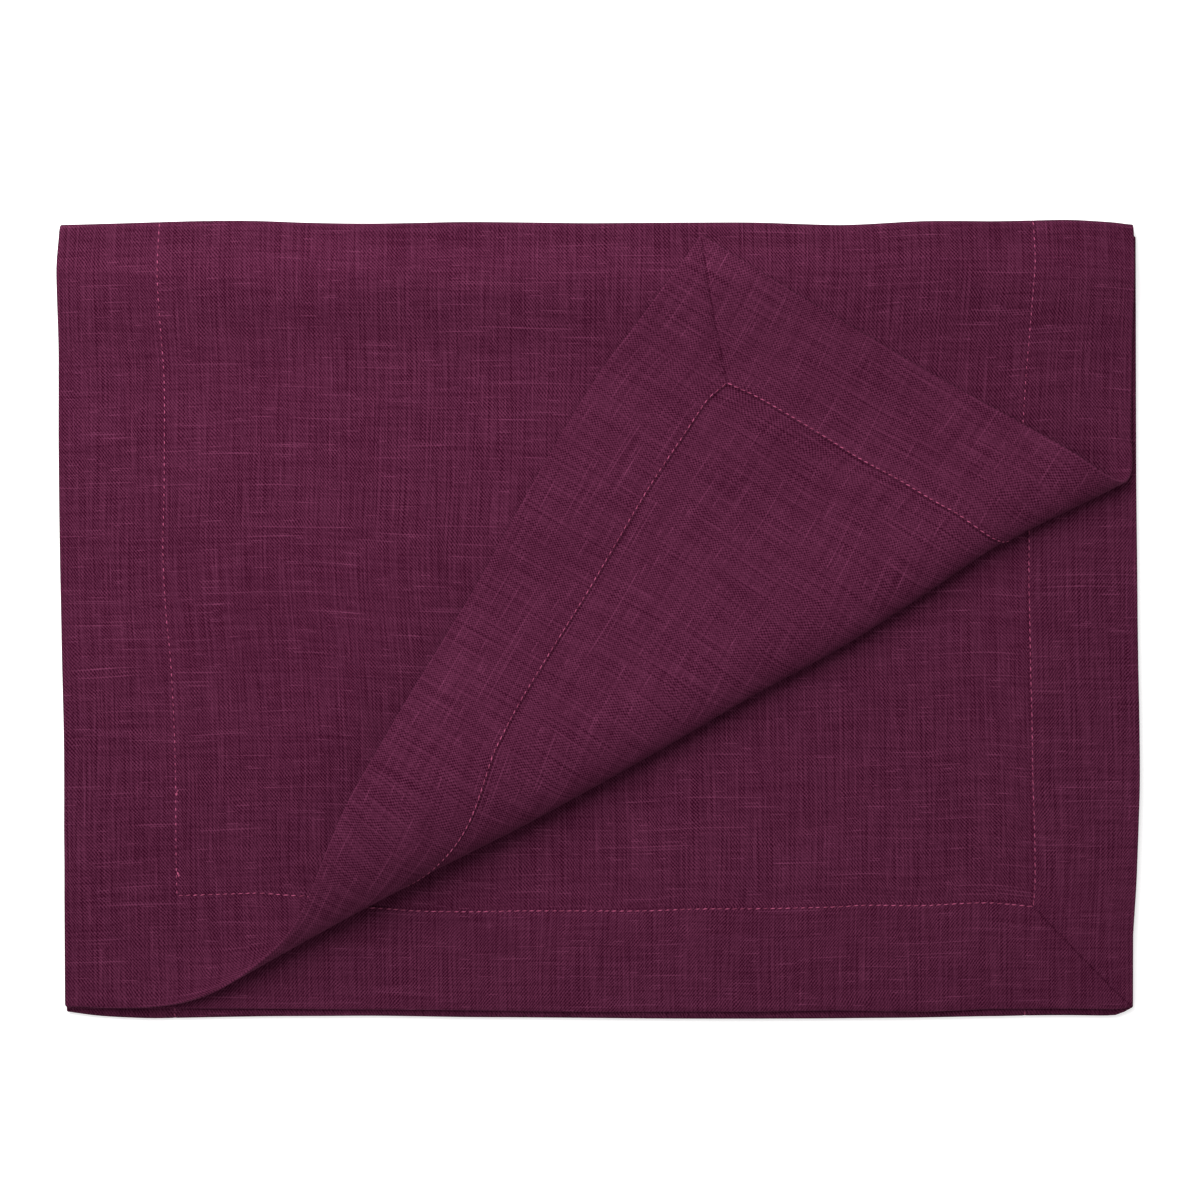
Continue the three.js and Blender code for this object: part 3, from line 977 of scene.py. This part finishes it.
class Bench:
    """A material and the nodes that are added to it."""

    def __init__(self, name: str) -> None:
        """Starts a material with no nodes."""
        self.material = bpy.data.materials.new(name)
        self.material.use_nodes = True
        self.material.node_tree.nodes.clear()

    def node(self, kind: str, settings: dict[str, Any], values: dict[Any, Any]) -> dict[str, Wire]:
        """Adds a node.

        Args:
            kind: the node's type.
            settings: its settings, which are set first.
            values: numbers or wires for its inputs, by name, identifier or place.

        Returns:
            The node's outputs, by name and by identifier; the first has a name that several share.
        """
        node = self.material.node_tree.nodes.new(kind)
        for key, value in settings.items():
            setattr(node, key, value)
        inputs = {end.name: end for end in list(node.inputs)[::-1]}
        inputs |= {end.identifier: end for end in node.inputs} | dict(enumerate(node.inputs))
        for key, value in values.items():
            socket = inputs[key]
            if isinstance(value, Wire):
                self.material.node_tree.links.new(value.socket, socket)
            else:
                bare_colour = socket.type == "RGBA" and len(value) == 3
                socket.default_value = (*value, 1.0) if bare_colour else value
        backwards = list(node.outputs)[::-1]
        return {key: Wire(self, end) for end in backwards for key in (end.identifier, end.name)}


    def cloth_place(self) -> tuple[Wire, Wire]:
        """Distances across and along the cloth, in millimetres."""
        place = self.node("ShaderNodeUVMap", {"uv_map": CLOTH_MAP}, {})["UV"]
        values = {0: place, "Scale": 1 / MM}
        scaled = self.node("ShaderNodeVectorMath", {"operation": "SCALE"}, values)["Vector"]
        apart = self.node("ShaderNodeSeparateXYZ", {}, {0: scaled})
        return apart["X"], apart["Y"]

    def share(self, name: str) -> Wire:
        """The number that is stored for each vertex under a name."""
        return self.node("ShaderNodeAttribute", {"attribute_name": name}, {})["Fac"]

    def noise(self, x: Any, y: Any, seed: float, detail: float = 0.0) -> Wire:
        """Smooth noise around 0.5 over two coordinates, different for each seed."""
        place = self.node("ShaderNodeCombineXYZ", {}, {0: x, 1: y, 2: seed})["Vector"]
        values = {"Vector": place, "Scale": 1.0, "Detail": detail}
        return self.node("ShaderNodeTexNoise", {"noise_dimensions": "3D"}, values)["Fac"]

    def patches(self, across: Wire, along: Wire, rows: Rows) -> Wire:
        """A sum of noises, each with its length across and along, its seed and its size."""
        parts = [self.noise(across / wide, along / long, seed) * size for wide, long, seed, size in rows]
        return sum(parts[1:], parts[0])

    def mix(self, share: Wire, first: Any, second: Any) -> Wire:
        """A colour between two."""
        values = {"Factor_Float": share, "A_Color": first, "B_Color": second}
        return self.node("ShaderNodeMix", {"data_type": "RGBA"}, values)["Result_Color"]

    def bump(self, height: Wire, distance: float, strength: float) -> Wire:
        """A normal bent by a height."""
        values = {"Height": height, "Distance": distance, "Strength": strength}
        return self.node("ShaderNodeBump", {}, values)["Normal"]

    def finish(self, surface: Surface, wires: dict[str, Wire]) -> bpy.types.Material:
        """Ends the material with its shader.

        Args:
            surface: names of the shader's inputs, with their constants.
            wires: what is led to its other inputs.

        Returns:
            The material.
        """
        shader = self.node("ShaderNodeBsdfPrincipled", {}, dict(surface) | wires)["BSDF"]
        self.node("ShaderNodeOutputMaterial", {}, {"Surface": shader})
        return self.material


@dataclass(frozen=True)
class LinenFinish:
    """Plum linen in plain weave, with uneven threads and slubs.

    Sway, drift and crisp are rows for patches(). Slubs are rows of a length, a seed, and a rarity from 0.5
    for many to 0.8 for few. Tones, grain and cloud have a length and a seed, and cloud its detail.
    """

    name: str = "plum_linen"
    deep: Colour = (0.0205, 0.0001, 0.0070)
    light: Colour = (0.1980, 0.0440, 0.1035)
    tone: float = 0.19
    warp_pitch: float = 0.565
    weft_pitch: float = 0.704
    sway: Rows = ((45, 16, 1.7, 1.6), (30, 4.1, 3.3, 0.9))
    drift: Rows = ((18, 50, 5.1, 1.4), (3.3, 30, 6.7, 0.8))
    reed_ends: int = 3
    reed: float = 0.03
    checker: float = 0.19
    hatch: float = 0.09
    crisp: Rows = ((3.1, 3.7, 41.9, 1.4),)
    crisp_least: float = 0.3
    thread_tone: float = 0.32
    thread_step: float = 3.7
    weft_tone: tuple[float, float] = (20.0, 2.3)
    warp_tone: tuple[float, float] = (25.0, 7.9)
    warp_contrast: float = 1.5
    grain: float = 0.24
    grain_noise: tuple[float, float] = (0.55, 31.7)
    cloud: float = 0.03
    cloud_noise: tuple[float, float, float] = (60.0, 23.1, 2.0)
    slub: float = 0.20
    slub_step: float = 7.31
    slub_edge: float = 0.1
    weft_slubs: Rows = ((34.0, 11.3, 0.69), (9.0, 13.9, 0.69))
    warp_slubs: Rows = ((12.0, 17.3, 0.68),)
    warp_slub: float = 0.6
    # How strongly the stored painted light and shade lighten or darken the cloth's tone.
    painted_shading: float = 0.11
    crown_rise: float = 0.3
    weft_slub_rise: float = 0.8
    warp_slub_rise: float = 0.6
    thread_rise: float = 0.5
    bump: tuple[float, float] = (0.00012, 0.6)
    surface: Surface = (
        ("Roughness", 0.92),
        ("Specular IOR Level", 0.04),
        ("Sheen Weight", 0.05),
        ("Sheen Roughness", 0.45),
        ("Sheen Tint", (0.60, 0.18, 0.36)),
    )

    def slubs(self, bench: Bench, thread: Wire, along: Wire, rows: Rows) -> Wire:
        """Places where single threads are thick for a while, as thin lines along them.

        Args:
            bench: the material that is being made.
            thread: place square to the threads, counted in threads.
            along: place along the threads.
            rows: the kinds of slubs.

        Returns:
            How thick the threads are: from 0 to 1 for each kind, added up.
        """
        number = thread.floor()
        crown = ((thread - number - 0.5) * math.pi).cosine()
        kinds = []
        for length, seed, rare in rows:
            patch = bench.noise(along / length, number * self.slub_step, seed)
            kinds.append(patch.ramp(rare, rare + self.slub_edge) * crown * crown)
        return sum(kinds[1:], kinds[0])

    def make(self) -> bpy.types.Material:
        """Builds the cloth's material.

        Returns:
            The material.
        """
        bench = Bench(self.name)
        across, along = bench.cloth_place()
        weft = (along + bench.patches(across, along, self.sway)) / self.weft_pitch
        warp = (across + bench.patches(across, along, self.drift)) / self.warp_pitch
        checks = (weft * math.pi).cosine() * (warp * math.pi).cosine()
        lean = (weft * math.pi).sine() * (warp * math.pi).sine() * bench.share(LEAN)
        reed = (warp * (2 * math.pi / self.reed_ends)).cosine()

        weft_over = checks * 0.5 + 0.5
        length, seed = self.weft_tone
        weft_tone = bench.noise(across / length, weft.floor() * self.thread_step, seed) - NOISE_MIDDLE
        length, seed = self.warp_tone
        warp_tone = bench.noise(warp.floor() * self.thread_step, along / length, seed)
        warp_tone = warp_tone * self.warp_contrast - self.warp_contrast * NOISE_MIDDLE
        threads = weft_tone * weft_over + warp_tone * (1 - weft_over)
        weft_slub = self.slubs(bench, weft, across, self.weft_slubs)
        warp_slub = self.slubs(bench, warp, along, self.warp_slubs)
        length, seed = self.grain_noise
        grain = bench.noise(across / length, along / length, seed) - NOISE_MIDDLE
        length, seed, detail = self.cloud_noise
        cloud = bench.noise(across / length, along / length, seed, detail) - NOISE_MIDDLE
        crisp = bench.patches(across, along, self.crisp) + self.crisp_least

        tone = self.tone + (checks * self.checker - lean * self.hatch) * crisp + reed * self.reed
        tone = tone + threads * self.thread_tone + grain * self.grain + cloud * self.cloud
        tone = tone + (weft_slub + warp_slub * self.warp_slub) * self.slub
        # Adds the painted highlight of the rim and reverse side and the painted shade of the mitres and the
        # hem's gap.
        tone = tone + bench.share(PAINTED_SHADING) * self.painted_shading
        height = checks.size() * self.crown_rise + weft_slub * self.weft_slub_rise
        height = height + warp_slub * self.warp_slub_rise + threads * self.thread_rise
        colour = bench.mix(tone, self.deep, self.light)
        return bench.finish(self.surface, {"Base Color": colour, "Normal": bench.bump(height, *self.bump)})


@dataclass(frozen=True)
class ThreadFinish:
    """The brighter sewing thread, uneven from stitch to stitch."""

    name: str = "crimson_thread"
    deep: Colour = (0.17, 0.022, 0.062)
    light: Colour = (0.36, 0.066, 0.150)
    patch: tuple[float, float] = (1.6, 3.0)
    patch_range: tuple[float, float] = (0.3, 0.7)
    twist: tuple[float, float] = (0.25, 9.0)
    bump: tuple[float, float] = (0.00005, 0.6)
    surface: Surface = (("Roughness", 0.7), ("Specular IOR Level", 0.25))

    def make(self) -> bpy.types.Material:
        """Builds the thread's material.

        Returns:
            The material.
        """
        bench = Bench(self.name)
        place = bench.node("ShaderNodeTexCoord", {}, {})["Object"]
        apart = bench.node("ShaderNodeSeparateXYZ", {}, {0: place})
        x, y = apart["X"] / MM, apart["Y"] / MM
        patch, twist = (
            bench.noise(x / length, y / length, seed) for length, seed in (self.patch, self.twist)
        )
        colour = bench.mix(patch.ramp(*self.patch_range), self.deep, self.light)
        return bench.finish(self.surface, {"Base Color": colour, "Normal": bench.bump(twist, *self.bump)})


@dataclass(frozen=True)
class FloorFinish:
    """The plain white surface that the cloth lies on."""

    name: str = "white_floor"
    surface: Surface = (
        ("Base Color", (0.9, 0.9, 0.9)),
        ("Roughness", 0.95),
        ("Specular IOR Level", 0.1),
        ("Emission Color", (1.0, 1.0, 1.0)),
        ("Emission Strength", 0.45),
    )

    def make(self) -> bpy.types.Material:
        """Builds the floor's material."""
        return Bench(self.name).finish(self.surface, {})


@dataclass
class Studio:
    """The floor, the soft light from the photograph's top side and the camera straight above."""

    shift: Array
    floor_half: float = 4.0
    floor_below: float = 0.0003
    camera_height: float = 2.0
    frame_at: float = 0.0076
    frame_width: float = 0.4476
    aim: tuple[float, float] = (0.00056, 0.00746)
    sensor: float = 36.0
    sight: tuple[float, float] = (0.1, 20.0)
    sky: float = 0.57
    key_place: tuple[float, float, float] = (-0.25, 0.43, 0.60)
    key_size: tuple[float, float] = (0.75, 0.75)
    key_watts: float = 9.8

    def floor(self) -> None:
        """Lays the floor."""
        bm = bmesh.new()
        bmesh.ops.create_grid(bm, x_segments=1, y_segments=1, size=self.floor_half)
        bmesh.ops.translate(bm, verts=bm.verts[:], vec=Vector((0, 0, -self.floor_below)))
        floor = show("floor", mesh_of(bm), FloorFinish().make())

    def lights(self) -> None:
        """Hangs the lamp and sets the even light all round."""
        scene = bpy.context.scene
        world = bpy.data.worlds.new("studio")
        world.use_nodes = True
        background = world.node_tree.nodes["Background"]
        background.inputs["Color"].default_value = (1, 1, 1, 1)
        background.inputs["Strength"].default_value = self.sky
        scene.world = world
        lamp = bpy.data.lights.new("key", "AREA")
        lamp.shape = "RECTANGLE"
        lamp.size, lamp.size_y = self.key_size
        lamp.energy = self.key_watts
        key = bpy.data.objects.new("key", lamp)
        key.location = self.key_place
        key.rotation_euler = (-Vector(self.key_place)).to_track_quat("-Z", "Y").to_euler()
        key.visible_camera = False
        scene.collection.objects.link(key)

    def camera(self) -> None:
        """Hangs the camera straight above the cloth, so that it frames what the photograph frames."""
        data = bpy.data.cameras.new("camera")
        data.sensor_width = self.sensor
        data.lens = self.sensor * (self.camera_height - self.frame_at) / self.frame_width
        data.clip_start, data.clip_end = self.sight
        camera = bpy.data.objects.new("camera", data)
        shift = self.shift * MM
        camera.location = (self.aim[0] + shift[0], self.aim[1] + shift[1], self.camera_height)
        bpy.context.scene.collection.objects.link(camera)
        bpy.context.scene.camera = camera

    def build(self) -> None:
        """Makes the studio."""
        self.floor()
        self.lights()
        self.camera()
        bpy.context.scene.view_settings.view_transform = "Standard"


def report(piece: bpy.types.Object) -> None:
    """Logs a piece's name, triangles and box."""
    piece.data.calc_loop_triangles()
    places = vertices_of(piece.data)
    low, high = places.min(axis=0) / MM, places.max(axis=0) / MM
    count = len(piece.data.loop_triangles)
    log.info("%s: %d triangles, from %s to %s mm", piece.name, count, low.round(2), high.round(2))


def main() -> None:
    """Builds the runner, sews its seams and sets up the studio."""
    logging.basicConfig(level=logging.INFO, format="%(name)s %(message)s")
    cloth = FoldedCloth()
    hem = Hem(cloth)
    runner = Runner(cloth, hem).build(LinenFinish().make())
    stitches = Stitches(cloth, hem).build(ThreadFinish().make())
    for piece in (runner, stitches):
        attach(piece, BODY)
        report(piece)
    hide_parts(NODE)
    Studio(cloth.shift).build()
    log.info("centred by %s mm", cloth.shift.round(3))


if __name__ == "__main__":
    main()
